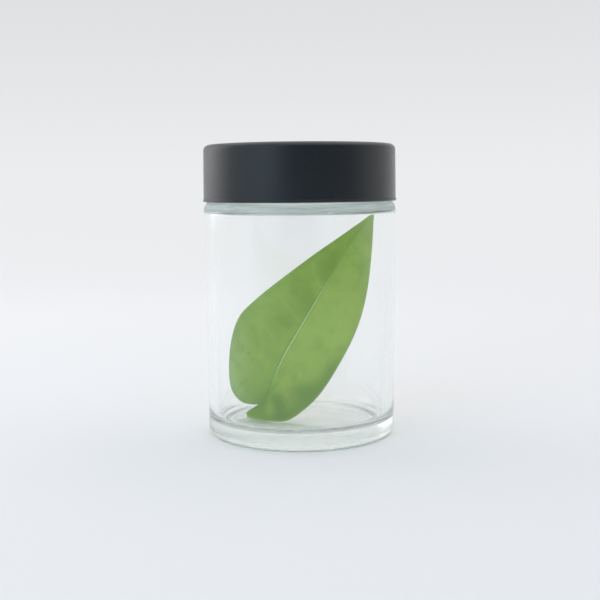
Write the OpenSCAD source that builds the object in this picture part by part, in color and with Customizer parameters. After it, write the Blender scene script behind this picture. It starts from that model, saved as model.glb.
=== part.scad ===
// Straight-sided glass specimen jar with a two-piece screw lid, a faced
// liner and a single pressed leaf standing inside.
// Origin: centre of the resting plane, +Z up, millimetres.

/* [Glass body] */
// Outer diameter at the start of the shoulder
body_d = 60; // [50:1:72]
// How much narrower the body is at the heel, on the diameter
body_draft = 1; // [0:0.2:1.6]
// Height from the resting ring to the start of the shoulder
body_h = 70; // [56:1:90]
// Thickness of the side wall
wall_t = 3; // [2.4:0.1:3.6]
// Thickness of the floor above the resting ring
floor_t = 4.4; // [3:0.1:6]
// Outer radius of the heel
heel_r = 2.5; // [1.5:0.1:4]
// Inner radius between floor and wall
floor_corner_r = 4; // [2:0.1:6]
// Height of the pushed-up centre of the base
push_up = 1.2; // [0.6:0.1:2]
// Width of the resting ring
ring_w = 2.4; // [1.5:0.1:4]

/* [Shoulder and neck] */
// Outer radius of the shoulder
shoulder_r = 4.5; // [3:0.1:5]
// Thickness of the glass under the shoulder ledge
shoulder_t = 4.2; // [3:0.1:4.6]
// Inner radius between the side wall and the underside of the shoulder
shoulder_cove = 1; // [0.6:0.1:1.6]
// Distance from the body's side in to the neck's side
neck_setback = 5.1; // [4.9:0.1:7]
// Thickness of the neck wall
neck_t = 2.5; // [1.8:0.1:3]
// Height of the neck above the shoulder ledge
neck_h = 10.4; // [9:0.1:14]
// Rounding of the rim's edges
rim_round = 0.8; // [0.4:0.1:1]

/* [Thread] */
// Rise of the thread in one turn, six threads per inch
pitch = 4.233; // [3.6:0.001:4.8]
// How far the glass thread stands out from the neck
thread_depth = 1.2; // [0.8:0.1:1.3]
// Turns of thread on the glass
neck_turns = 1.35; // [1:0.05:1.5]
// Turns of thread in the lid
lid_turns = 1.25; // [1:0.05:1.5]
// Radial clearance between the two threads
thread_gap = 0.25; // [0.2:0.05:0.4]
// Clearance between the flanks of the two threads
flank_gap = 0.12; // [0.08:0.01:0.2]

/* [Lid] */
// Height of the lid's outside
lid_h = 17.5; // [17:0.1:22]
// Gap between the shoulder's start and the lid's lower edge
lid_lift = 3; // [2.6:0.1:4]
// How much narrower the lid is at its top, on the diameter
lid_draft = 0.3; // [0:0.05:0.8]
// Rounding of the lid's top edge
lid_round = 1.8; // [1:0.1:2.4]
// Wall of the outer shell
shell_t = 1.2; // [0.9:0.1:1.4]
// Roof of the outer shell
shell_roof_t = 1.6; // [1.2:0.1:2]
// How far the bead at the lower edge stands out
bead_out = 0.2; // [0.1:0.05:0.4]
// Height of the bead at the lower edge
bead_h = 0.9; // [0.6:0.1:1.4]
// Wall of the threaded inner cap
cap_t = 1.4; // [1:0.1:1.6]
// Roof of the threaded inner cap
cap_roof_t = 1.5; // [1.2:0.1:2]
// Number of fins that key the inner cap in the shell
fin_count = 24; // [16:1:36]
// Width of each fin
fin_w = 1.2; // [0.8:0.1:1.6]

/* [Liner] */
// Thickness of the foam wad
foam_t = 1.25; // [1:0.05:1.8]
// Thickness of the barrier facing
facing_t = 0.25; // [0.2:0.05:0.4]
// Gap between the liner's edge and the inner cap
liner_gap = 0.6; // [0.3:0.1:0.8]

/* [Leaf] */
// Thickness of the leaf blade
leaf_t = 0.5; // [0.4:0.05:0.8]
// Gap between the leaf's widest reach and the glass
leaf_side_gap = 1.5; // [1:0.1:3]
// Gap between the leaf's tip and the underside of the shoulder
leaf_top_gap = 1.1; // [0.8:0.1:8]
// Gap between the leaf's lobe and the floor
leaf_floor_gap = 0.3; // [0.3:0.05:0.6]

/* [Hidden] */
$fn = 96;

arc_steps = 8;          // chords in a quarter round
thread_steps = 36;      // sections in one turn of thread
thread_fade = 0.08;     // share of the thread that fades in or out at an end
thread_bite = 0.3;      // depth that a thread is sunk into its wall
seat_gap = 0.05;        // gap between lid pieces that are pressed together

// Glass body
body_r = body_d / 2;
foot_r = body_r - body_draft / 2;
inner_r = body_r - wall_t;
inner_foot_r = foot_r - wall_t;
ring_out_r = foot_r - heel_r;
ring_in_r = ring_out_r - ring_w;
push_slope = 1.8;       // width of the slope inside the resting ring
push_dome = 0.3;        // extra rise at the centre of the pushed-up base

// Shoulder and neck
ledge_z = body_h + shoulder_r;
ceiling_z = ledge_z - shoulder_t;
neck_r = body_r - neck_setback;
bore_r = neck_r - neck_t;
rim_z = ledge_z + neck_h;
neck_root_r = 0.6;
throat_lip_r = 1.2;
cove_r = min(shoulder_cove, inner_r - bore_r - throat_lip_r - 0.1);

// Glass thread: half widths at its root and crest
crest_r = neck_r + thread_depth;
neck_root_hw = 1.3;
neck_crest_hw = 0.6;
neck_thread_top = rim_z - 1.9;
neck_thread_low = neck_thread_top - neck_turns * pitch;

// Lid, built up from the rim: facing, foam, inner cap roof, shell roof
lid_z = body_h + lid_lift;
lid_top = lid_z + lid_h;
lid_r = body_r;
lid_top_r = lid_r - lid_draft / 2;
shell_in_r = lid_r - lid_draft / 2 - shell_t;
roof_z = lid_top - shell_roof_t;
cap_in_r = crest_r + thread_gap;
cap_out_r = cap_in_r + cap_t;
facing_z = rim_z;
foam_z = facing_z + facing_t;
cap_ceiling = foam_z + foam_t;
cap_top = cap_ceiling + cap_roof_t;
cap_low = ledge_z + 0.9;
cap_flange_h = 1.2;
fin_r = shell_in_r - seat_gap;
liner_r = cap_in_r - liner_gap;
post_r = 18;            // ring rib between the two roofs
post_t = 1.2;
snap_h = 0.9;           // height of the bead that holds the inner cap
snap_in = 0.7;          // how far that bead stands in

// Lid thread: it hangs one contact offset below the glass thread
lid_crest_r = neck_r + thread_gap;
lid_root_hw = 0.9;
lid_crest_hw = 0.45;
neck_hw_at_crest = neck_root_hw
  - (neck_root_hw - neck_crest_hw) * thread_gap / thread_depth;
contact_offset = neck_hw_at_crest + lid_crest_hw + flank_gap;
lid_thread_low = neck_thread_low - contact_offset + 0.1 * pitch;

// Leaf: it is drawn for the cavity below and scaled to the real one
leaf_drawn_reach = 25;
leaf_drawn_floor = 4.7;
leaf_drawn_top = 69.2;
leaf_sx = (inner_foot_r - leaf_side_gap) / leaf_drawn_reach;
leaf_low = floor_t + leaf_floor_gap;
leaf_sz = (ceiling_z - leaf_top_gap - leaf_low) / (leaf_drawn_top - leaf_drawn_floor);
leaf_left = [
  [-12.17, 10, 7], [-15.78, 9.2, 6.4], [-20.36, 8.2, 7.6], [-23.85, 7, 12],
  [-24.48, 5.6, 19.3], [-23.43, 6.4, 28.5], [-20.38, 7, 36], [-14.4, 7, 41.6],
  [-6.52, 7, 47.8], [4.28, 6.5, 55.6], [15.08, 6, 63], [24.06, 5.2, 69]];
leaf_mid = [
  [-11.88, 10, 6.1], [-11.77, 10, 6.7], [-11.46, 10, 7.7], [-10.94, 10, 9.4],
  [-9.79, 10, 13], [-7.72, 10, 17.8], [-4.95, 9.8, 23.5], [-0.96, 9.5, 30.2],
  [4.36, 8.8, 39.1], [9.99, 7.8, 48.7], [16.02, 6.5, 58.8], [24.36, 5.2, 69]];
leaf_right = [
  [-12, 12, 5.3], [-15.6, 11, 5], [-17.98, 3.6, 5], [-15.96, -4.2, 5],
  [-9.55, -9, 5], [-3.15, -7, 5.4], [5.2, -1, 10.7], [11.82, 2, 20.2],
  [18.38, 4, 32.3], [21.92, 5, 43.5], [23.8, 5.5, 56.7], [24.56, 5.3, 68.7]];
leaf_rows = 34;
leaf_cols = 6;

// Points of an arc about [r, z] from angle a to angle b
function arc(c, r, a, b) =
  [for (i = [0 : arc_steps]) let (t = a + (b - a) * i / arc_steps)
    [c[0] + r * cos(t), c[1] + r * sin(t)]];

// Half section of the glass, from the underside's centre round to the floor's
function glass_section() = concat(
  [[0, push_up + push_dome], [ring_in_r - push_slope, push_up], [ring_in_r, 0]],
  arc([ring_out_r, heel_r], heel_r, -90, 0),
  arc([body_r - shoulder_r, body_h], shoulder_r, 0, 90),
  arc([neck_r + neck_root_r, ledge_z + neck_root_r], neck_root_r, 270, 180),
  arc([neck_r - rim_round, rim_z - rim_round], rim_round, 0, 90),
  arc([bore_r + rim_round, rim_z - rim_round], rim_round, 90, 180),
  arc([bore_r + throat_lip_r, ceiling_z + throat_lip_r], throat_lip_r, 180, 270),
  arc([inner_r - cove_r, ceiling_z - cove_r], cove_r, 90, 0),
  arc([inner_foot_r - floor_corner_r, floor_t + floor_corner_r], floor_corner_r, 0, -90),
  [[0, floor_t]]);

// How much of its full height the thread has at a share u of its length
function fade(u) = min(1, u / thread_fade, (1 - u) / thread_fade);

// One section of a thread: root edge, crest edge, crest edge, root edge.
// root is the wall's radius, bite the way into the wall, crest the far radius
function thread_ring(angle, z, f, wall, bite, crest, root_hw, crest_hw) =
  let (r = wall + (crest - wall) * max(f, 0.02), back = wall + bite)
  [for (p = [[back, -root_hw], [r, -crest_hw], [r, crest_hw], [back, root_hw]])
    [p[0] * cos(angle), p[0] * sin(angle), z + p[1]]];

// A thread that climbs from z at angle 360 * lead by so many turns
module thread(z, lead, turns, wall, bite, crest, root_hw, crest_hw) {
  n = ceil(turns * thread_steps);
  rings = [for (i = [0 : n]) let (u = i / n)
    thread_ring(360 * (lead + turns * u), z + pitch * turns * u, fade(u),
                wall, bite, crest, root_hw, crest_hw)];
  points = [for (ring = rings) each ring];
  outward = crest > wall;
  sides = [for (i = [0 : n - 1], k = [0 : 3])
    let (a = 4 * i + k, b = 4 * i + (k + 1) % 4)
    each [[a, b, b + 4], [a, b + 4, a + 4]]];
  ends = [[0, 2, 1], [0, 3, 2], [4 * n, 4 * n + 1, 4 * n + 2], [4 * n, 4 * n + 2, 4 * n + 3]];
  faces = concat(sides, ends);
  polyhedron(points, outward ? faces : [for (f = faces) [f[2], f[1], f[0]]]);
}

module glass_jar() {
  color("#dfeae6", 0.4) union() {
    rotate_extrude() polygon(glass_section());
    thread(neck_thread_low, 0, neck_turns, neck_r, -thread_bite, crest_r,
           neck_root_hw, neck_crest_hw);
  }
}

// Half section of the outer shell, from the top's centre round to the roof
function shell_section() = concat(
  [[0, lid_top]],
  arc([lid_top_r - lid_round, lid_top - lid_round], lid_round, 90, 0),
  [[lid_r, lid_z + bead_h + bead_out],
   [lid_r + bead_out, lid_z + bead_h],
   [lid_r + bead_out, lid_z + bead_out],
   [lid_r, lid_z],
   [shell_in_r + 0.3, lid_z],
   [shell_in_r, lid_z + 0.3],
   [shell_in_r, cap_low - seat_gap - snap_h],
   [shell_in_r - snap_in, cap_low - seat_gap - snap_h / 3],
   [shell_in_r - snap_in, cap_low - seat_gap],
   [shell_in_r, cap_low - seat_gap],
   [shell_in_r, roof_z],
   [post_r + post_t, roof_z],
   [post_r + post_t, cap_top + seat_gap],
   [post_r, cap_top + seat_gap],
   [post_r, roof_z],
   [0, roof_z]]);

module lid_shell() {
  color("#24282b") rotate_extrude() polygon(shell_section());
}

// Half section of the threaded inner cap
function cap_section() = [
  [0, cap_top], [cap_out_r, cap_top], [cap_out_r, cap_low + cap_flange_h],
  [fin_r, cap_low + cap_flange_h], [fin_r, cap_low], [cap_in_r, cap_low],
  [cap_in_r, cap_ceiling], [0, cap_ceiling]];

module fins() {
  intersection() {
    difference() {
      translate([0, 0, cap_low]) cylinder(r = fin_r, h = cap_top - cap_low);
      translate([0, 0, cap_low - 1]) cylinder(r = cap_out_r - thread_bite, h = cap_top - cap_low + 2);
    }
    for (i = [0 : fin_count - 1])
      rotate(360 * i / fin_count)
        translate([0, -fin_w / 2, cap_low])
          cube([lid_r, fin_w, cap_top - cap_low - 0.6]);
  }
}

module lid_inner_cap() {
  color("#eceeec") union() {
    rotate_extrude() polygon(cap_section());
    fins();
    thread(lid_thread_low, 0.1, lid_turns, cap_in_r, thread_bite, lid_crest_r,
           lid_root_hw, lid_crest_hw);
  }
}

module liner_foam() {
  color("#eceae4") translate([0, 0, foam_z]) cylinder(r = liner_r, h = foam_t);
}

module liner_facing() {
  color("#f6f6f3") translate([0, 0, facing_z]) cylinder(r = liner_r, h = facing_t);
}

// Smooth curve through the points p at station u
function through(p, u) =
  let (i = min(floor(u), len(p) - 2), t = u - i,
       a = p[max(i - 1, 0)], b = p[i], c = p[i + 1], d = p[min(i + 2, len(p) - 1)])
  b + 0.5 * t * ((c - a) + t * ((2 * a - 5 * b + 4 * c - d) + t * (3 * (b - c) + d - a)));

// Leaf point at station u along the midrib and v across, -1 left to 1 right
function leaf_point(u, v) =
  let (m = through(leaf_mid, u),
       e = through(v < 0 ? leaf_left : leaf_right, u),
       p = m + (e - m) * abs(v))
  [p[0] * leaf_sx, p[1] * leaf_sx, leaf_low + (p[2] - leaf_drawn_floor) * leaf_sz];

function unit(v) = v / norm(v);

// Direction square to the leaf at a station
function leaf_normal(u, v) =
  let (d = 0.02, last = len(leaf_mid) - 1,
       along = leaf_point(min(u + d, last), v) - leaf_point(max(u - d, 0), v),
       across = leaf_point(u, min(v + d, 1)) - leaf_point(u, max(v - d, -1)))
  unit(cross(along, across));

module leaf() {
  rows = leaf_rows;
  cols = leaf_cols;
  last = len(leaf_mid) - 1;
  w = cols + 1;
  side = (rows + 1) * w;
  grid = [for (i = [0 : rows], j = [0 : cols])
    let (u = last * i / rows, v = 2 * j / cols - 1)
    [leaf_point(u, v), leaf_normal(u, v)]];
  points = concat([for (g = grid) g[0] + g[1] * leaf_t / 2],
                  [for (g = grid) g[0] - g[1] * leaf_t / 2]);
  skin = [for (i = [0 : rows - 1], j = [0 : cols - 1])
    let (a = i * w + j, b = a + 1, c = a + w, d = c + 1)
    each [[a, b, d], [a, d, c]]];
  back = [for (f = skin) [f[0] + side, f[2] + side, f[1] + side]];
  edge = concat([for (j = [0 : cols]) j],
                [for (i = [1 : rows]) i * w + cols],
                [for (j = [1 : cols]) rows * w + cols - j],
                [for (i = [1 : rows - 1]) (rows - i) * w]);
  n = len(edge);
  rim = [for (k = [0 : n - 1]) let (a = edge[k], b = edge[(k + 1) % n])
    each [[a, a + side, b + side], [a, b + side, b]]];
  color("#86a862") polyhedron(points, concat(skin, back, rim));
}

glass_jar();
lid_shell();
lid_inner_cap();
liner_foam();
liner_facing();
leaf();
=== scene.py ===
# Clear glass specimen jar with a black screw lid and one leaf standing inside.
# Shapes are drawn in millimetres round the jar's axis and put into the mesh in metres. In an
# outline, "lead" is how far short of a round corner a straight stretch stops.
import math

import bmesh
import bpy
import numpy as np
from mathutils import Euler, Matrix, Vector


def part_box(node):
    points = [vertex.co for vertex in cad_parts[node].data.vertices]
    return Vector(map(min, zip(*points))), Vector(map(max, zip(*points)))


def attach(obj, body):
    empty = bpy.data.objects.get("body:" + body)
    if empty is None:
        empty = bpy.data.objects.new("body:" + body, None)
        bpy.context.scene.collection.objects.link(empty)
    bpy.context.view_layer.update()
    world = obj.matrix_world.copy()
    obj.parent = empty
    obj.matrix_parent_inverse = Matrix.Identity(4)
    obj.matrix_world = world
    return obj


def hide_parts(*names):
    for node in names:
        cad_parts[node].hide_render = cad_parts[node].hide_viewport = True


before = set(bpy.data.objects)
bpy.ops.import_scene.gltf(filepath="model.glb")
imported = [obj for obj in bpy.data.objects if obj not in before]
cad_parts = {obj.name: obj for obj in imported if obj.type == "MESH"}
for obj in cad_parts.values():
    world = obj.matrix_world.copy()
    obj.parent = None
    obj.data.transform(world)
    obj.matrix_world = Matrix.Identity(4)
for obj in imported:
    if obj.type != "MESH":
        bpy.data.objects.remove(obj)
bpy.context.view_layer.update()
mm = 0.001


def boxOf(node):
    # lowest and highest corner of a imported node, in millimetres
    low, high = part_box(node)
    return np.array(low) / mm, np.array(high) / mm


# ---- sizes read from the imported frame

jarLow, jarHigh = boxOf("glass_jar")
shellLow, shellHigh = boxOf("lid_shell")
capLow, capHigh = boxOf("lid_inner_cap")
foamLow, foamHigh = boxOf("liner_foam")
facingLow, facingHigh = boxOf("liner_facing")
leafLow, leafHigh = boxOf("leaf")

jar = dict(
    radius=jarHigh[0],          # outer radius where the shoulder starts
    draft=0.5,                  # how much less the radius is at the heel
    wall=3.0, floor=4.4, heel=2.5, floorCorner=4.0,
    pushUp=1.2, pushDome=0.3, pushSlope=2.4, slopeEnd=0.2, ringWidth=2.4,
    shoulderZ=jarHigh[2] - 14.9, shoulder=4.5, shoulderGlass=4.2,
    neckSetback=5.1, neckWall=2.5, neckRoot=0.6, cove=1.0,
    rimZ=jarHigh[2], rimRound=0.8, throatLip=1.2,
    pitch=4.233, threadDepth=1.2, threadTurns=1.35, threadTop=1.9,
    threadRootHalf=1.3, threadCrestHalf=0.6,
    waver=0.05,                 # uneven thickness of the moulded wall
    waves=[(2, 0.7, 0.6), (5, 2.1, 0.45), (9, 0.4, 0.25)],    # its waves round the jar: number, phase, share
    lead=0.3, neckLead=0.05, around=256)

lid = dict(
    low=shellLow[2], top=shellHigh[2], wall=1.2, roof=1.6, roofRound=0.5,
    bead=0.2, beadHeight=0.9, beadRound=0.45, beadFillet=0.2, draft=0.15, edgeRound=1.8, mouthEdge=0.3,
    snapHeight=0.9, snapIn=0.7, postRadius=18.0, postWall=1.2, postEdge=0.2,
    capGap=0.05,                # clearance between the inner cap and the shell
    lead=0.3, around=256)
lid["radius"] = shellHigh[0] - lid["bead"]

cap = dict(
    low=capLow[2], top=capHigh[2], finRadius=capHigh[0], wall=1.4, roof=1.5,
    flange=1.2, flangeEdge=0.15, mouthEdge=0.25, topRound=0.5, ceilingRound=0.3,
    threadTurns=1.25, threadStart=0.1, threadGap=0.25, flankGap=0.12,
    threadRootHalf=0.9, threadCrestHalf=0.45,
    fins=24, finWidth=1.2, finTopGap=0.6, lead=0.1, around=288)

leafForm = dict(
    thickness=0.36, rimThickness=0.16, rows=168, across=72,
    veinPairs=9, veinCurve=0.35, veinRelief=0.05, midribRelief=0.22, midribWidth=0.05,
    ripple=0.22, ripples=26)

stepAlong = dict(neck=0.14, side=4, lidSide=2, capSide=1, flat=3)    # longest edge along a half section


# ---- meshes

def gridMesh(name, points, uv=None):
    # a surface over a two-parameter grid: points[i, j] joins its four neighbours, and the last
    # column joins the first; a first or last row all at one point is a pole
    rows, cols = points.shape[:2]
    i, j = np.meshgrid(np.arange(rows - 1), np.arange(cols), indexing="ij")
    k = (j + 1) % cols
    quads = np.stack([i * cols + j, i * cols + k, (i + 1) * cols + k, (i + 1) * cols + j], -1)
    mesh = bpy.data.meshes.new(name)
    mesh.from_pydata((points.reshape(-1, 3) * mm).tolist(), [], quads.reshape(-1, 4).tolist())
    if uv is not None:
        layer = mesh.uv_layers.new(name="across")
        loops = np.empty(len(mesh.loops), dtype=np.int32)
        mesh.loops.foreach_get("vertex_index", loops)
        layer.data.foreach_set("uv", uv.reshape(-1, 2)[loops].astype(np.float32).ravel())
    piece = bpy.data.objects.new(name, mesh)
    bpy.context.scene.collection.objects.link(piece)
    return piece


def settle(piece):
    # merges doubled points at poles and seams, points the faces outwards and smooths them
    work = bmesh.new()
    work.from_mesh(piece.data)
    bmesh.ops.remove_doubles(work, verts=work.verts, dist=1e-7)
    bmesh.ops.dissolve_degenerate(work, edges=work.edges, dist=1e-8)
    bmesh.ops.recalc_face_normals(work, faces=work.faces)
    work.to_mesh(piece.data)
    work.free()
    piece.data.polygons.foreach_set("use_smooth", [True] * len(piece.data.polygons))
    piece.data.update()
    return piece


def arc(centre, radius, start, end, steps):
    # points of a circle about centre from one angle to another, in degrees
    t = np.radians(np.linspace(start, end, steps + 1))
    return np.stack([centre[0] + radius * np.cos(t), centre[1] + radius * np.sin(t)], 1)


def dense(outline, step):
    # the outline with every straight stretch cut to pieces no longer than step
    outline = np.array(outline, dtype=float)
    parts = []
    for a, b in zip(outline[:-1], outline[1:]):
        count = max(1, int(math.ceil(np.linalg.norm(b - a) / step)))
        parts.append(a + (b - a) * np.linspace(0, 1, count, endpoint=False)[:, None])
    return np.concatenate(parts + [outline[-1:]])


def chain(*parts):
    # stretches and single points joined to one outline
    return np.concatenate([np.atleast_2d(np.array(p, dtype=float)) for p in parts])


def turned(outline, around, swell=None):
    # the half section carried round the axis; swell(radius, height, angle) adds to the radius
    angle = np.linspace(0, 2 * np.pi, around, endpoint=False)
    r = np.repeat(outline[:, :1], around, 1)
    z = np.repeat(outline[:, 1:], around, 1)
    t = np.repeat(angle[None, :], len(outline), 0)
    if swell is not None:
        r = r + swell(r, z, t)
    return np.stack([r * np.cos(t), r * np.sin(t), z], -1)


def smoothStep(x, low, high):
    # 0 below low, 1 above high, smooth between
    s = np.clip((x - low) / (high - low), 0, 1)
    return s * s * (3 - 2 * s)


def helixHeight(z, angle, startZ, startTurn, turns, pitch, rootHalf, crestHalf, fade=0.08):
    # height from 0 to 1 of a thread above its wall: a rounded flank either side of a helix that
    # rises one pitch a turn from startZ, starting startTurn of a turn round from the x axis, and
    # fades in and out at its ends; every turn of the helix near this height is tried
    best = np.zeros_like(z)
    for n in range(-1, int(turns) + 2):
        u = (angle / (2 * np.pi) - startTurn + n) / turns
        off = np.abs(z - (startZ + pitch * turns * u))
        flank = 1 - smoothStep(off, crestHalf * 0.8, rootHalf * 1.05)    # a little rounder than the CAD's
        ends = np.clip(np.minimum(u, 1 - u) / fade, 0, 1)
        best = np.maximum(best, flank * np.sqrt(ends) * ((u > 0) & (u < 1)))
    return best


# ---- glass

def glassOutline():
    # half section of the jar: underside centre, heel, wall, shoulder, neck, rim, bore, floor
    j = jar
    foot = j["radius"] - j["draft"]
    ringOut = foot - j["heel"]
    ringIn = ringOut - j["ringWidth"]
    ledge = j["shoulderZ"] + j["shoulder"]
    ceiling = ledge - j["shoulderGlass"]
    neck = j["radius"] - j["neckSetback"]
    bore = neck - j["neckWall"]
    inner = j["radius"] - j["wall"]
    innerFoot = foot - j["wall"]
    cove = j["cove"]
    lead = j["lead"]
    dome = np.linspace(0, 1, 12)[:, None] * [ringIn - j["pushSlope"] - j["slopeEnd"], -j["pushDome"]]
    slope = smoothStep(np.linspace(0, 1, 14), 0, 1)
    run = np.linspace(ringIn - j["pushSlope"], ringIn + j["slopeEnd"], 14)
    neckLow = ledge + j["neckRoot"] + j["neckLead"]
    neckHigh = j["rimZ"] - j["rimRound"] - j["neckLead"]
    return chain(
        dome + [0, j["pushUp"] + j["pushDome"]],
        np.stack([run, j["pushUp"] * (1 - slope)], 1),
        arc((ringOut, j["heel"]), j["heel"], -90, 0, 14),
        dense([[foot, j["heel"] + lead], [j["radius"], j["shoulderZ"] - lead]], stepAlong["side"]),
        arc((j["radius"] - j["shoulder"], j["shoulderZ"]), j["shoulder"], 0, 90, 18),
        arc((neck + j["neckRoot"], ledge + j["neckRoot"]), j["neckRoot"], 270, 180, 6),
        dense([[neck, neckLow], [neck, neckHigh]], stepAlong["neck"]),
        arc((neck - j["rimRound"], j["rimZ"] - j["rimRound"]), j["rimRound"], 0, 90, 8),
        arc((bore + j["rimRound"], j["rimZ"] - j["rimRound"]), j["rimRound"], 90, 180, 8),
        arc((bore + j["throatLip"], ceiling + j["throatLip"]), j["throatLip"], 180, 270, 10),
        arc((inner - cove, ceiling - cove), cove, 90, 0, 14),
        dense([[inner, ceiling - cove - lead], [innerFoot, j["floor"] + j["floorCorner"] + lead]],
              stepAlong["side"]),
        arc((innerFoot - j["floorCorner"], j["floor"] + j["floorCorner"]), j["floorCorner"], 0, -90, 16),
        dense([[innerFoot - j["floorCorner"] - lead, j["floor"]], [0, j["floor"]]], stepAlong["flat"]))


def glassSwell(r, z, t):
    # the neck's thread, and a slow unevenness of the inner wall round the jar
    j = jar
    neck = j["radius"] - j["neckSetback"]
    low = j["rimZ"] - j["threadTop"] - j["threadTurns"] * j["pitch"]
    onNeck = np.abs(r - neck) < 1e-6
    thread = helixHeight(z, t, low, 0, j["threadTurns"], j["pitch"],
                         j["threadRootHalf"], j["threadCrestHalf"]) * j["threadDepth"]
    innerMiddle = j["radius"] - j["wall"] - j["draft"] / 2
    inside = (np.abs(r - innerMiddle) < j["draft"] / 2 + 0.15) & (z < j["shoulderZ"])
    uneven = sum(share * np.sin(number * t + phase) for number, phase, share in j["waves"])
    return np.where(onNeck, thread, 0) + np.where(inside, -j["waver"] * (1 + uneven), 0)


def makeGlass():
    return settle(gridMesh("jar_glass", turned(glassOutline(), jar["around"], glassSwell)))


# ---- lid

def shellOutline():
    # half section of the outer shell: top, rounded edge, side, bead, snap bead, roof, ring rib
    s = lid
    topRadius = s["radius"] - s["draft"]
    inside = topRadius - s["wall"]
    snapTop = cap["low"] - s["capGap"]
    snapLow = snapTop - s["snapHeight"]
    snapPeak = snapTop - s["snapHeight"] / 3
    roof = s["top"] - s["roof"]
    beadTop = s["low"] + s["beadHeight"]
    beadMiddle = s["low"] + s["beadHeight"] / 2
    edge, roofEdge, postEdge = s["edgeRound"], s["roofRound"], s["postEdge"]
    postIn, postOut, postLow = s["postRadius"], s["postRadius"] + s["postWall"], cap["top"] + s["capGap"]
    return chain(
        dense([[0, s["top"]], [topRadius - edge - 0.2, s["top"]]], stepAlong["flat"]),
        arc((topRadius - edge, s["top"] - edge), edge, 90, 0, 14),
        dense([[topRadius, s["top"] - edge - s["lead"]], [s["radius"], beadTop + 0.12]],
              stepAlong["lidSide"]),
        arc((s["radius"] + s["beadFillet"], beadTop + s["beadFillet"] / 2), s["beadFillet"], 180, 240, 3),
        arc((s["radius"] + s["bead"] - s["beadRound"], beadMiddle), s["beadRound"], 60, -60, 8),
        [[s["radius"] - 0.1, s["low"]], [inside + s["mouthEdge"], s["low"]]],
        [[inside, s["low"] + s["mouthEdge"]], [inside, snapLow]],
        [[inside - s["snapIn"], snapPeak], [inside - s["snapIn"], snapTop], [inside, snapTop]],
        dense([[inside, snapTop + s["lead"]], [inside, roof - roofEdge - 0.1]], stepAlong["lidSide"]),
        arc((inside - roofEdge, roof - roofEdge), roofEdge, 0, 90, 6),
        [[postOut + postEdge, roof], [postOut, roof - postEdge], [postOut, postLow]],
        [[postIn, postLow], [postIn, roof - postEdge], [postIn - postEdge, roof], [0, roof]])


def makeShell():
    return settle(gridMesh("lid_outer_shell", turned(shellOutline(), lid["around"])))


def capRadii():
    # inside and outside radius of the inner cap's wall, which clears the thread of the neck
    inside = jar["radius"] - jar["neckSetback"] + jar["threadDepth"] + cap["threadGap"]
    return inside, inside + cap["wall"]


def capOutline():
    # half section of the inner cap: roof, side, flange, inside wall, ceiling
    c = cap
    inside, outside = capRadii()
    ceiling = c["top"] - c["roof"]
    top, corner, lead = c["topRound"], c["ceilingRound"], c["lead"]
    flangeTop, fin, edge = c["low"] + c["flange"], c["finRadius"], c["flangeEdge"]
    return chain(
        dense([[0, c["top"]], [outside - top - lead, c["top"]]], stepAlong["flat"]),
        arc((outside - top, c["top"] - top), top, 90, 0, 6),
        dense([[outside, c["top"] - top - 2 * lead], [outside, flangeTop + lead]], stepAlong["capSide"]),
        [[outside, flangeTop], [fin - edge, flangeTop], [fin, flangeTop - edge]],
        [[fin, c["low"] + edge], [fin - edge, c["low"]], [inside + c["mouthEdge"], c["low"]]],
        dense([[inside, c["low"] + c["mouthEdge"]], [inside, ceiling - corner - lead / 2]],
              stepAlong["neck"]),
        arc((inside - corner, ceiling - corner), corner, 0, 90, 5),
        dense([[inside - 2 * corner, ceiling], [0, ceiling]], stepAlong["flat"]))


def capSwell(r, z, t):
    # fins on the outside, the lid's thread on the inside
    c, j = cap, jar
    inside, outside = capRadii()
    low = c["low"] + c["flange"]
    onSide = (np.abs(r - outside) < 1e-6) & (z < c["top"] - c["finTopGap"]) & (z > low)
    finPitch = 2 * np.pi * c["finRadius"] / c["fins"]
    turn = np.abs((t * c["fins"] / (2 * np.pi) + 0.5) % 1 - 0.5) * finPitch    # way round from the next fin
    fin = (1 - smoothStep(turn, c["finWidth"] * 0.35, c["finWidth"] * 0.65)) * (c["finRadius"] - outside)
    onWall = np.abs(r - inside) < 1e-6
    taper = (j["threadRootHalf"] - j["threadCrestHalf"]) / j["threadDepth"]
    half = j["threadRootHalf"] - taper * c["threadGap"]    # half width of the glass thread at that gap
    start = (j["rimZ"] - j["threadTop"] - j["threadTurns"] * j["pitch"]
             - half - c["threadCrestHalf"] - c["flankGap"] + c["threadStart"] * j["pitch"])
    thread = helixHeight(z, t, start, c["threadStart"], c["threadTurns"], j["pitch"],
                         c["threadRootHalf"], c["threadCrestHalf"])
    return np.where(onSide, fin, 0) - np.where(onWall, thread * j["threadDepth"], 0)


def makeCap():
    return settle(gridMesh("lid_threaded_cap", turned(capOutline(), cap["around"], capSwell)))


disc = dict(foamEdge=0.15, facingEdge=0.08, around=192)


def makeDisc(name, low, high, edge):
    # half section of a flat disc with softly rounded edges, between two corners of a packed box
    radius = high[0]
    flat = radius - edge * 1.2
    outline = chain(
        dense([[0, low[2]], [flat, low[2]]], stepAlong["flat"]),
        arc((radius - edge, low[2] + edge), edge, -90, 0, 5),
        arc((radius - edge, high[2] - edge), edge, 0, 90, 5),
        dense([[flat, high[2]], [0, high[2]]], stepAlong["flat"]))
    return settle(gridMesh(name, turned(outline, disc["around"])))


# ---- leaf

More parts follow.
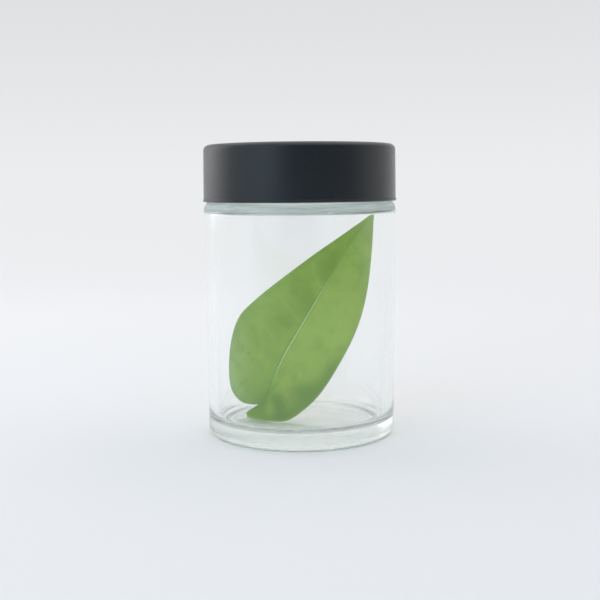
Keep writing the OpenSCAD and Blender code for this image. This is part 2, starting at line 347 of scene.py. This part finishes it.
leafGuides = dict(      # guide points of the left edge, the midrib and the right edge
    left=[(-12.17, 10, 7), (-15.78, 9.2, 6.4), (-20.36, 8.2, 7.6), (-23.85, 7, 12),
          (-24.48, 5.6, 19.3), (-23.43, 6.4, 28.5), (-20.38, 7, 36), (-14.4, 7, 41.6),
          (-6.52, 7, 47.8), (4.28, 6.5, 55.6), (15.08, 6, 63), (24.06, 5.2, 69)],
    mid=[(-11.88, 10, 6.1), (-11.77, 10, 6.7), (-11.46, 10, 7.7), (-10.94, 10, 9.4),
         (-9.79, 10, 13), (-7.72, 10, 17.8), (-4.95, 9.8, 23.5), (-0.96, 9.5, 30.2),
         (4.36, 8.8, 39.1), (9.99, 7.8, 48.7), (16.02, 6.5, 58.8), (24.36, 5.2, 69)],
    right=[(-12, 12, 5.3), (-15.6, 11, 5), (-17.98, 3.6, 5), (-15.96, -4.2, 5),
           (-9.55, -9, 5), (-3.15, -7, 5.4), (5.2, -1, 10.7), (11.82, 2, 20.2),
           (18.38, 4, 32.3), (21.92, 5, 43.5), (23.8, 5.5, 56.7), (24.56, 5.3, 68.7)])


def through(points, u):
    # smooth curve through the guide points at stations u, an array: a cubic from each point to
    # the next, running at every point along the line between the two beside it
    p = np.array(points, dtype=float)
    i = np.clip(np.floor(u).astype(int), 0, len(p) - 2)
    t = (u - i)[:, None]
    a, b, c, d = p[np.maximum(i - 1, 0)], p[i], p[i + 1], p[np.minimum(i + 2, len(p) - 1)]
    return b + 0.5 * t * ((c - a) + t * ((2 * a - 5 * b + 4 * c - d) + t * (3 * (b - c) + d - a)))


def leafSurface():
    # middle surface of the blade: each row runs straight from the left edge to the midrib, and
    # straight on to the right edge
    f = leafForm
    u = np.linspace(0, len(leafGuides["mid"]) - 1, f["rows"])
    v = np.linspace(-1, 1, f["across"] + 1)
    left, mid, right = (through(leafGuides[k], u)[:, None, :] for k in ("left", "mid", "right"))
    side = np.where(v[None, :, None] < 0, left, right)
    w = np.abs(v)[None, :, None]
    return mid + (side - mid) * w, u, v


def makeLeaf():
    # the middle surface, raised to both sides by half the blade's thickness, which thins to the
    # rim; side veins sink the front, veins and midrib stand out behind, and the rim ripples
    f = leafForm
    points, u, v = leafSurface()
    along = np.gradient(points, axis=0)
    across = np.gradient(points, axis=1)
    normal = np.cross(along, across)
    normal /= np.linalg.norm(normal, axis=2, keepdims=True) + 1e-12
    s = (u / u[-1])[:, None]
    w = np.abs(v)[None, :]
    edge = smoothStep(w, 0.8, 1.0)
    half = 0.5 * (f["thickness"] * (1 - edge) + f["rimThickness"] * edge)
    vein = np.abs((s * f["veinPairs"] - f["veinCurve"] * w ** 1.5) % 1 - 0.5) * 2
    relief = f["veinRelief"] * smoothStep(vein, 0.75, 1.0) * (1 - w) * smoothStep(s, 0.05, 0.2)
    rib = f["midribRelief"] * np.exp(-(w / f["midribWidth"]) ** 2) * (1 - s) ** 0.7
    wave = np.sin(s * f["ripples"] + 3 * np.sign(v)[None, :])
    ripple = f["ripple"] * smoothStep(w, 0.55, 1.0) * wave * smoothStep(s, 0.3, 0.5)
    middle = points + normal * ripple[..., None]
    front = middle + normal * (half - relief)[..., None]
    back = middle - normal * (half + rib + 0.6 * relief)[..., None]
    shell = np.clip(np.concatenate([front, back[:, ::-1]], axis=1), leafLow, leafHigh)
    uvRow = np.stack(np.broadcast_arrays(s, 0.5 + 0.5 * v[None, :]), -1)
    uv = np.concatenate([uvRow, uvRow[:, ::-1]], axis=1)
    first, last = shell[:1].mean(1, keepdims=True), shell[-1:].mean(1, keepdims=True)
    cols = shell.shape[1]
    shell = np.concatenate([np.repeat(first, cols, 1), shell, np.repeat(last, cols, 1)])
    uv = np.concatenate([uv[:1], uv, uv[-1:]])
    return settle(gridMesh("leaf_blade", shell, uv))


# ---- shader maths

class Sock:
    # a shader value that can be used in ordinary arithmetic
    def __init__(self, tree, socket):
        self.tree, self.socket = tree, socket

    def op(self, kind, other=None, swap=False):
        # one Math node; swap puts this value second
        node = self.tree.nodes.new("ShaderNodeMath")
        node.operation = kind
        pair = [self] if other is None else ([other, self] if swap else [self, other])
        for socket, value in zip(node.inputs, pair):
            feed(self.tree, socket, value)
        return Sock(self.tree, node.outputs[0])

    def __add__(self, other): return self.op("ADD", other)
    def __radd__(self, other): return self.op("ADD", other, True)
    def __sub__(self, other): return self.op("SUBTRACT", other)
    def __rsub__(self, other): return self.op("SUBTRACT", other, True)
    def __mul__(self, other): return self.op("MULTIPLY", other)
    def __rmul__(self, other): return self.op("MULTIPLY", other, True)
    def __truediv__(self, other): return self.op("DIVIDE", other)
    def __rtruediv__(self, other): return self.op("DIVIDE", other, True)
    def __pow__(self, other): return self.op("POWER", other)

    def ramp(self, low, high):
        # 0 below low, 1 above high, smooth between
        node = self.tree.nodes.new("ShaderNodeMapRange")
        node.interpolation_type = "SMOOTHSTEP"
        feed(self.tree, node.inputs["Value"], self)
        feed(self.tree, node.inputs["From Min"], low)
        feed(self.tree, node.inputs["From Max"], high)
        return Sock(self.tree, node.outputs["Result"])


def feed(tree, socket, value):
    # a link from another node, or a fixed value
    if isinstance(value, Sock):
        tree.links.new(value.socket, socket)
    else:
        socket.default_value = value


class Finish:
    # a material's node tree, with one method that adds any node
    def __init__(self, name):
        self.material = bpy.data.materials.new(name)
        self.material.use_nodes = True
        self.tree = self.material.node_tree
        self.tree.nodes.clear()
        self.out = self.tree.nodes.new("ShaderNodeOutputMaterial")

    def node(self, kind, output=0, settings=None, **inputs):
        # inputs go by socket name with _ for a space, or by number as i0, i1, i2
        node = self.tree.nodes.new("ShaderNode" + kind)
        for key, value in (settings or {}).items():
            setattr(node, key, value)
        for key, value in inputs.items():
            numbered = key[0] == "i" and key[1:].isdigit()
            feed(self.tree, node.inputs[int(key[1:]) if numbered else key.replace("_", " ")], value)
        return Sock(self.tree, node.outputs[output])

    def place(self):
        return self.node("TexCoord", "Object")

    def noise(self, vector, scale, detail=3, rough=0.5):
        return self.node("TexNoise", Vector=vector, Scale=scale, Detail=detail, Roughness=rough)

    def split(self, vector):
        node = self.node("SeparateXYZ", Vector=vector).socket.node
        return [Sock(self.tree, socket) for socket in node.outputs]

    def mix(self, factor, a, b):
        # a where factor is 0, b where it is 1
        node = self.tree.nodes.new("ShaderNodeMix")
        node.data_type = "RGBA"
        for name, value in (("Factor_Float", factor), ("A_Color", a), ("B_Color", b)):
            socket = next(s for s in node.inputs if s.identifier == name)
            if isinstance(value, tuple):
                value = (*value, 1)
            feed(self.tree, socket, value)
        return Sock(self.tree, next(s for s in node.outputs if s.identifier == "Result_Color"))

    def bump(self, height, distance, strength):
        return self.node("Bump", Height=height, Distance=distance, Strength=strength)

    def surface(self, shader, volume=None):
        self.tree.links.new(shader.socket, self.out.inputs["Surface"])
        if volume is not None:
            self.tree.links.new(volume.socket, self.out.inputs["Volume"])
        return self.material


def put(material, piece):
    piece.data.materials.clear()
    piece.data.materials.append(material)


# ---- finishes

glassLook = dict(
    colour=(0.992, 0.998, 0.996, 1), ior=1.515, absorb=(0.68, 0.86, 0.76, 1), density=5.0,
    haze=(0.92, 0.97, 1.0, 1), shoulderHaze=0.41, shoulderBlur=0.14, heelBlur=0.16,
    shoulderFrom=(-0.4, 0.6), shoulderTo=(-11, -9),    # from the shoulder's start up, from the rim down
    heelTo=(2.5, 6.0), streakAround=30, streakUp=0.9)


def clearGlass():
    # smooth glass with a faint green that gathers with depth; the heel and the shoulder are less
    # polished, and the shoulder has a slight moulding haze in streaks that run round it
    m, g = Finish("clear_glass"), glassLook
    x, y, z = m.split(m.place())
    z = z / mm
    overStart = z.ramp(*(jar["shoulderZ"] + at for at in g["shoulderFrom"]))
    overEnd = z.ramp(*(jar["rimZ"] + at for at in g["shoulderTo"]))
    onShoulder = overStart * (1 - overEnd)
    blur = g["shoulderBlur"] * onShoulder + g["heelBlur"] * (1 - z.ramp(*g["heelTo"]))
    shader = m.node("BsdfPrincipled", Base_Color=g["colour"], Roughness=blur,
                    IOR=g["ior"], Transmission_Weight=1.0)
    around, up = g["streakAround"], g["streakUp"]
    streaks = m.noise(m.node("CombineXYZ", X=x * around, Y=y * around, Z=z * up), 1.0, 2)
    mist = m.node("BsdfTranslucent", Color=g["haze"])
    depth = m.node("VolumeAbsorption", Color=g["absorb"], Density=g["density"])
    haze = g["shoulderHaze"] * onShoulder * (0.6 + 0.8 * streaks.ramp(0.3, 0.7))
    return m.surface(m.node("MixShader", i0=haze, i1=shader, i2=mist), depth)


# each ...Scale in these dictionaries is a noise scale: the larger, the finer
lidLook = dict(
    # the third colour is a painted highlight for the rounded top edge
    dark=(0.0052, 0.0085, 0.0112), light=(0.0078, 0.0118, 0.0150), edgeHighlight=(0.036, 0.037, 0.040),
    rough=0.22, cloudRough=0.05, scuffRough=0.06, grain=0.09, grainScale=5200, cloudScale=60, scuffScale=700,
    highlightDown=(1.2, 0.4), highlightIn=(2.6, 1.8))    # where the painted highlight line along the top edge starts and is full, from top and side


def blackLid():
    # satin black: fine mould grain as bump, slow change of colour and gloss, faint scuffs, and a
    # painted highlight: a slightly paler line along the rounded top edge, as if light from above catches it
    m, k = Finish("black_satin"), lidLook
    at = m.place()
    grain = m.noise(at, k["grainScale"], 4, 0.6)
    cloud = m.noise(at, k["cloudScale"])
    scuff = m.noise(m.node("Mapping", Vector=at, Scale=(1, 1, 9)), k["scuffScale"], 2).ramp(0.62, 0.8)
    colour = m.mix(cloud.ramp(0.3, 0.7), k["dark"], k["light"])
    x, y, z = m.split(at)
    radius = (x * x + y * y) ** 0.5 / mm
    # painted highlight: the rounded top edge is made paler in colour, as if lit from above
    paintedHighlight = ((z / mm).ramp(*(lid["top"] - down for down in k["highlightDown"]))
              * radius.ramp(*(lid["radius"] - back for back in k["highlightIn"])))
    colour = m.mix(paintedHighlight * (0.7 + 0.3 * cloud), colour, k["edgeHighlight"])
    rough = k["rough"] + k["cloudRough"] * cloud + k["scuffRough"] * scuff
    return m.surface(m.node("BsdfPrincipled", Base_Color=colour, Roughness=rough,
                            Normal=m.bump(grain, k["grain"] * mm, 0.5)))


capLook = dict(dull=(0.90, 0.91, 0.90), clean=(0.93, 0.94, 0.93), rough=0.42, grainRough=0.12, grain=0.02,
               grainScale=3000, cloudScale=90)


def capPlastic():
    # plain undyed moulding, a little duller and rougher than the shell
    m, k = Finish("moulded_white"), capLook
    at = m.place()
    grain = m.noise(at, k["grainScale"])
    colour = m.mix(m.noise(at, k["cloudScale"]).ramp(0.3, 0.7), k["dull"], k["clean"])
    rough = k["rough"] + k["grainRough"] * grain
    return m.surface(m.node("BsdfPrincipled", Base_Color=colour, Roughness=rough,
                            Normal=m.bump(grain, k["grain"] * mm, 0.5)))


foamLook = dict(aged=(0.80, 0.79, 0.75), clean=(0.86, 0.85, 0.82), rough=0.85, cell=0.08,
                cellScale=2600, cloudScale=150)


def foamWad():
    # fine closed cells: a small cell pattern in the bump and a slight yellowing in patches
    m, k = Finish("foam_wad"), foamLook
    at = m.place()
    cells = m.node("TexVoronoi", "Distance", Vector=at, Scale=k["cellScale"])
    colour = m.mix(m.noise(at, k["cloudScale"]).ramp(0.35, 0.7), k["aged"], k["clean"])
    return m.surface(m.node("BsdfPrincipled", Base_Color=colour, Roughness=k["rough"],
                            Normal=m.bump(cells, k["cell"] * mm, 0.7)))


filmLook = dict(
    plain=(0.94, 0.94, 0.93), pressed=(0.88, 0.88, 0.87), rough=0.28, grainRough=0.1,
    mark=(0.7, 1.3), markDepth=0.05, grainScale=900)    # mark: half widths where the ring is full and gone


def facingFilm():
    # smooth white film with the ring that the rim has pressed into it
    m, k = Finish("facing_film"), filmLook
    at = m.place()
    x, y, _ = m.split(at)
    radius = (x * x + y * y) ** 0.5
    rim = (jar["radius"] - jar["neckSetback"] - jar["neckWall"] / 2) * mm
    off = (radius - rim).op("ABSOLUTE")
    mark = 1 - off.ramp(*(half * mm for half in k["mark"]))
    grain = m.noise(at, k["grainScale"], 2)
    colour = m.mix(mark, k["plain"], k["pressed"])
    rough = k["rough"] + k["grainRough"] * grain
    return m.surface(m.node("BsdfPrincipled", Base_Color=colour, Roughness=rough,
                            Normal=m.bump(0.2 * grain - mark, k["markDepth"] * mm, 0.6)))


leafLook = dict(
    # the darkest green here serves both as dark spots and as painted shade, and the palest grey-green is a
    # painted reflection of the glass
    deep=(0.245, 0.420, 0.015), fresh=(0.455, 0.670, 0.120), yellow=(0.610, 0.760, 0.150),
    shade=(0.180, 0.360, 0.040), tip=(0.500, 0.650, 0.210), rim=(0.560, 0.690, 0.330),
    rib=(0.700, 0.870, 0.350), vein=(0.600, 0.820, 0.220), paintedReflection=(0.720, 0.850, 0.490),
    through=(0.455, 0.665, 0.115, 1), clear=0.45, rough=0.50, grainRough=0.15, gloss=0.30, relief=0.05,
    patchScale=60, spotScale=260, fleckScale=170, cellScale=900, grainScale=2500,
    lowShadePart=0.85, reflectionPart=0.75, bandPart=0.34, spotPart=0.40, fleckPart=0.50,    # how far each colour
    tipPart=0.6, veinPart=0.35, rimPart=0.45, ribShadowPart=0.55)                     # takes over


def leafSkin():
    # s runs from the foot to the tip and w from the midrib to either edge. Colour: fresh green in
    # slow patches with small yellow flecks and dark spots, deeper along the left of the midrib,
    # yellower in the right middle, crossed by soft bands that follow the side veins; painted shade
    # darkens the low right edge, which bends down towards the floor, and a painted reflection of the
    # glass pales the low left; a pale midrib thins to the tip with a painted shadow on its left, and a pale
    # tip and rim.
    # The veins, a fine grain and a faint mesh of cells are in the bump. Part of the light passes through in
    # one even green, less at the midrib.
    m, c = Finish("leaf_green"), leafLook
    s, v, _ = m.split(m.node("UVMap", settings=dict(uv_map="across")))
    side = 2 * v - 1
    w = side.op("ABSOLUTE")
    right = side.ramp(0.0, 0.06)
    at = m.place()
    patch = m.noise(at, c["patchScale"])
    spot = m.noise(at, c["spotScale"])
    base = m.mix(patch.ramp(0.35, 0.75), c["fresh"], c["deep"])
    besideRib = (1 - right) * s.ramp(0.50, 0.70) * (1 - w.ramp(0.25, 0.85))
    base = m.mix(besideRib * (0.55 + 0.5 * patch), base, c["deep"])
    # painted shade: the low right edge, which bends down towards the floor and lies in shade, is darkened in
    # colour
    shadedLowEdge = right * (w - (s - 0.27) * 2.3).ramp(-0.10, 0.22)
    middle = right * (1 - shadedLowEdge) * s.ramp(0.30, 0.48) * (1 - s.ramp(0.72, 0.95))
    base = m.mix(middle * (0.45 + 0.6 * patch), base, c["yellow"])
    # painted shade laid on the low right edge
    base = m.mix(c["lowShadePart"] * shadedLowEdge, base, c["shade"])
    # painted reflection: the pale veil that the glass front throws over the low left of the leaf is painted
    # into its colour
    paintedReflection = (1 - right) * (1 - s.ramp(0.22, 0.62)) * (0.35 + 0.65 * w.ramp(0.35, 0.95))
    base = m.mix(c["reflectionPart"] * paintedReflection, base, c["paintedReflection"])
    run = s * leafForm["veinPairs"] - leafForm["veinCurve"] * (w ** 1.5)
    band = (run * (2 * math.pi)).op("COSINE") * 0.5 + 0.5
    base = m.mix(c["bandPart"] * band * (1 - w.ramp(0.7, 1.0)) * s.ramp(0.2, 0.4), base, c["yellow"])
    base = m.mix(c["spotPart"] * spot.ramp(0.45, 0.75), base, c["shade"])
    fleck = m.noise(at, c["fleckScale"], 4).ramp(0.50, 0.70) * (1 - paintedReflection) * (1 - shadedLowEdge)
    base = m.mix(c["fleckPart"] * fleck, base, c["yellow"])
    base = m.mix(c["tipPart"] * s.ramp(0.90, 1.0), base, c["tip"])
    saw = (run.op("FRACT") - 0.5).op("ABSOLUTE") * 2
    veins = saw.ramp(0.92, 1.0) * (1 - w.ramp(0.55, 1.0)) * s.ramp(0.05, 0.2)
    base = m.mix(c["veinPart"] * veins, base, c["vein"])
    cells = m.node("TexVoronoi", "Distance", dict(feature="DISTANCE_TO_EDGE"),
                   Vector=at, Scale=c["cellScale"])
    net = 1 - cells.ramp(0.0, 0.10)
    base = m.mix(c["rimPart"] * w.ramp(0.93, 1.0), base, c["rim"])
    # painted shadow: a darker strip just left of the midrib, where the raised rib shades the blade
    ribShadow = (1 - right) * (1 - (w / 0.07).ramp(0.3, 1.0)) * (1 - s.ramp(0.8, 1.0))
    base = m.mix(c["ribShadowPart"] * ribShadow, base, c["shade"])
    ribWidth = 0.031 * (1.12 - s) + 0.03 * (1 - s.ramp(0.1, 0.3))
    rib = (1 - (w / ribWidth).ramp(0.6, 1.2)) * (1 - s.ramp(0.75, 1.0))
    base = m.mix(rib, base, c["rib"])
    grain = m.noise(at, c["grainScale"], 2)
    height = 0.08 * net + 0.2 * grain + 0.8 * veins
    shader = m.node("BsdfPrincipled", Base_Color=base, Roughness=c["rough"] + c["grainRough"] * grain,
                    Specular_IOR_Level=c["gloss"], Normal=m.bump(height, c["relief"] * mm, 0.5))
    glow = m.node("BsdfTranslucent", Color=c["through"])
    clear = c["clear"] * (1 - 0.85 * rib) * (1 - 0.25 * shadedLowEdge)
    return m.surface(m.node("MixShader", i0=clear, i1=shader, i2=glow))


# ---- tent, light and camera

# sizes in metres; each ...At is a patch of the wall: its azimuth in degrees, 0 at the front and
# positive to the right, and the cosines from it at which the patch starts and is full
tent = dict(
    floorZ=-0.00008, floorRadius=0.42, bend=0.42, wallTop=1.25, around=128,
    paper=(0.897, 0.866, 0.856), light=(0.972, 0.987, 1.0), coolLight=(0.78, 0.97, 1.14),
    back=0.865, upperBack=0.76, front=0.270, leftFront=0.17, left=1.15, strip=0.75, top=1.12, backTop=0.35,
    frontAt=(19, 0.30, 0.80), coolAt=(-12, 0.35, 0.80), leftFrontAt=(-50, 0.84, 0.94),
    leftAt=(-116, 0.89, 0.985), stripAt=(-34, 0.960, 0.995), backTopAt=(180, -0.2, 0.6))


def tentOutline():
    # half section of the tent: flat floor, round bend, wall, dome
    t = tent
    r = t["floorRadius"] + t["bend"]
    return chain(
        dense([[0, t["floorZ"]], [t["floorRadius"], t["floorZ"]]], 0.03),
        arc((t["floorRadius"], t["bend"]), t["bend"], -90, 0, 30)[1:],
        dense([[r, t["bend"] + 0.02], [r, t["wallTop"]]], 0.06),
        arc((0, t["wallTop"]), r, 0, 90, 24)[1:]) / mm


def tentCloth():
    # paper floor that takes shadows, turning into softly glowing cloth up the walls: dimmer and
    # cooler where the camera stands, with a broad bright patch on the left, a narrow one at the
    # left front, and a bright dome
    m, t = Finish("tent_cloth"), tent
    x, y, z = m.split(m.place())
    radius = (x * x + y * y) ** 0.5 + 0.001    # never 0
    cx, cy = x / radius, y / radius

    def patch(name):
        azimuth, start, full = t[name]
        a = math.radians(azimuth)
        return (cx * math.sin(a) - cy * math.cos(a)).ramp(start, full)

    back = t["back"] + (t["upperBack"] - t["back"]) * z.ramp(0.03, 0.30)
    glow = back + (t["front"] - back) * patch("frontAt")
    glow = glow + t["leftFront"] * patch("leftFrontAt")
    glow = glow + t["left"] * patch("leftAt") * z.ramp(0.02, 0.12) * (1 - z.ramp(0.35, 0.7))
    glow = glow + t["strip"] * patch("stripAt") * z.ramp(0.0, 0.1) * (1 - z.ramp(0.5, 0.9))
    above = t["top"] + t["backTop"] * patch("backTopAt")
    glow = glow + (above - glow) * z.ramp(0.5, 1.2)
    wall = radius.ramp(t["floorRadius"] * 0.7, t["floorRadius"] + t["bend"] * 0.8)
    wall = wall + z.ramp(0.3, 0.6) * (1 - wall)
    paper = m.node("BsdfDiffuse", Color=(*t["paper"], 1))
    tint = m.mix(patch("coolAt"), t["light"], t["coolLight"])
    glowing = m.node("VectorMath", settings=dict(operation="SCALE"), Vector=tint, Scale=glow)
    light = m.node("BsdfPrincipled", Base_Color=(0, 0, 0, 1), Roughness=1.0, Specular_IOR_Level=0.0,
                   Emission_Color=glowing, Emission_Strength=1.0)
    return m.surface(m.node("MixShader", i0=wall, i1=paper, i2=light))


def makeTent():
    piece = settle(gridMesh("tent", turned(tentOutline(), tent["around"])))
    piece.data.flip_normals()    # the inside is the side that is seen
    put(tentCloth(), piece)


# distance and height in metres, angles in degrees, focal length in widths of the picture
eye = dict(distance=0.3254, height=0.0789, tilt=6.51, turn=-0.026, roll=-0.48, focal=1033 / 600,
           sensor=36, near=0.01, far=20)


def makeCamera():
    data = bpy.data.cameras.new("camera")
    data.sensor_width = eye["sensor"]
    data.lens = eye["sensor"] * eye["focal"]
    data.clip_start, data.clip_end = eye["near"], eye["far"]
    camera = bpy.data.objects.new("camera", data)
    bpy.context.scene.collection.objects.link(camera)
    camera.location = (0, -eye["distance"], eye["height"])
    look = Euler((math.radians(90 - eye["tilt"]), 0, math.radians(-eye["turn"]))).to_matrix()
    camera.rotation_euler = (look @ Matrix.Rotation(math.radians(eye["roll"]), 3, "Z")).to_euler()
    bpy.context.scene.camera = camera


# ---- build

print("glass and lid")
glass = makeGlass()
shell = makeShell()
threadedCap = makeCap()
foam = makeDisc("liner_foam_wad", foamLow, foamHigh, disc["foamEdge"])
facing = makeDisc("liner_film", facingLow, facingHigh, disc["facingEdge"])
print("leaf")
leaf = makeLeaf()

print("finishes")
put(clearGlass(), glass)
put(blackLid(), shell)
put(capPlastic(), threadedCap)
put(foamWad(), foam)
put(facingFilm(), facing)
put(leafSkin(), leaf)

for piece, body, node, slot in (
        (glass, "jar", "glass_jar", "clear_glass"), (shell, "lid", "lid_shell", "black_lid"),
        (threadedCap, "lid", "lid_inner_cap", "inner_cap"), (foam, "liner", "liner_foam", "foam"),
        (facing, "liner", "liner_facing", "facing"), (leaf, "leaf", "leaf", "leaf_blade")):
    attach(piece, body)
    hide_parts(node)

print("tent and camera")
makeTent()
makeCamera()
bpy.context.scene.view_settings.view_transform = "Standard"
for limit in ("max_bounces", "transmission_bounces", "glossy_bounces"):
    setattr(bpy.context.scene.cycles, limit, 32)       # thick glass turns light round many times
bpy.context.scene.cycles.diffuse_bounces = 8
bpy.context.scene.cycles.blur_glossy = 0               # keeps the light that glass lets through
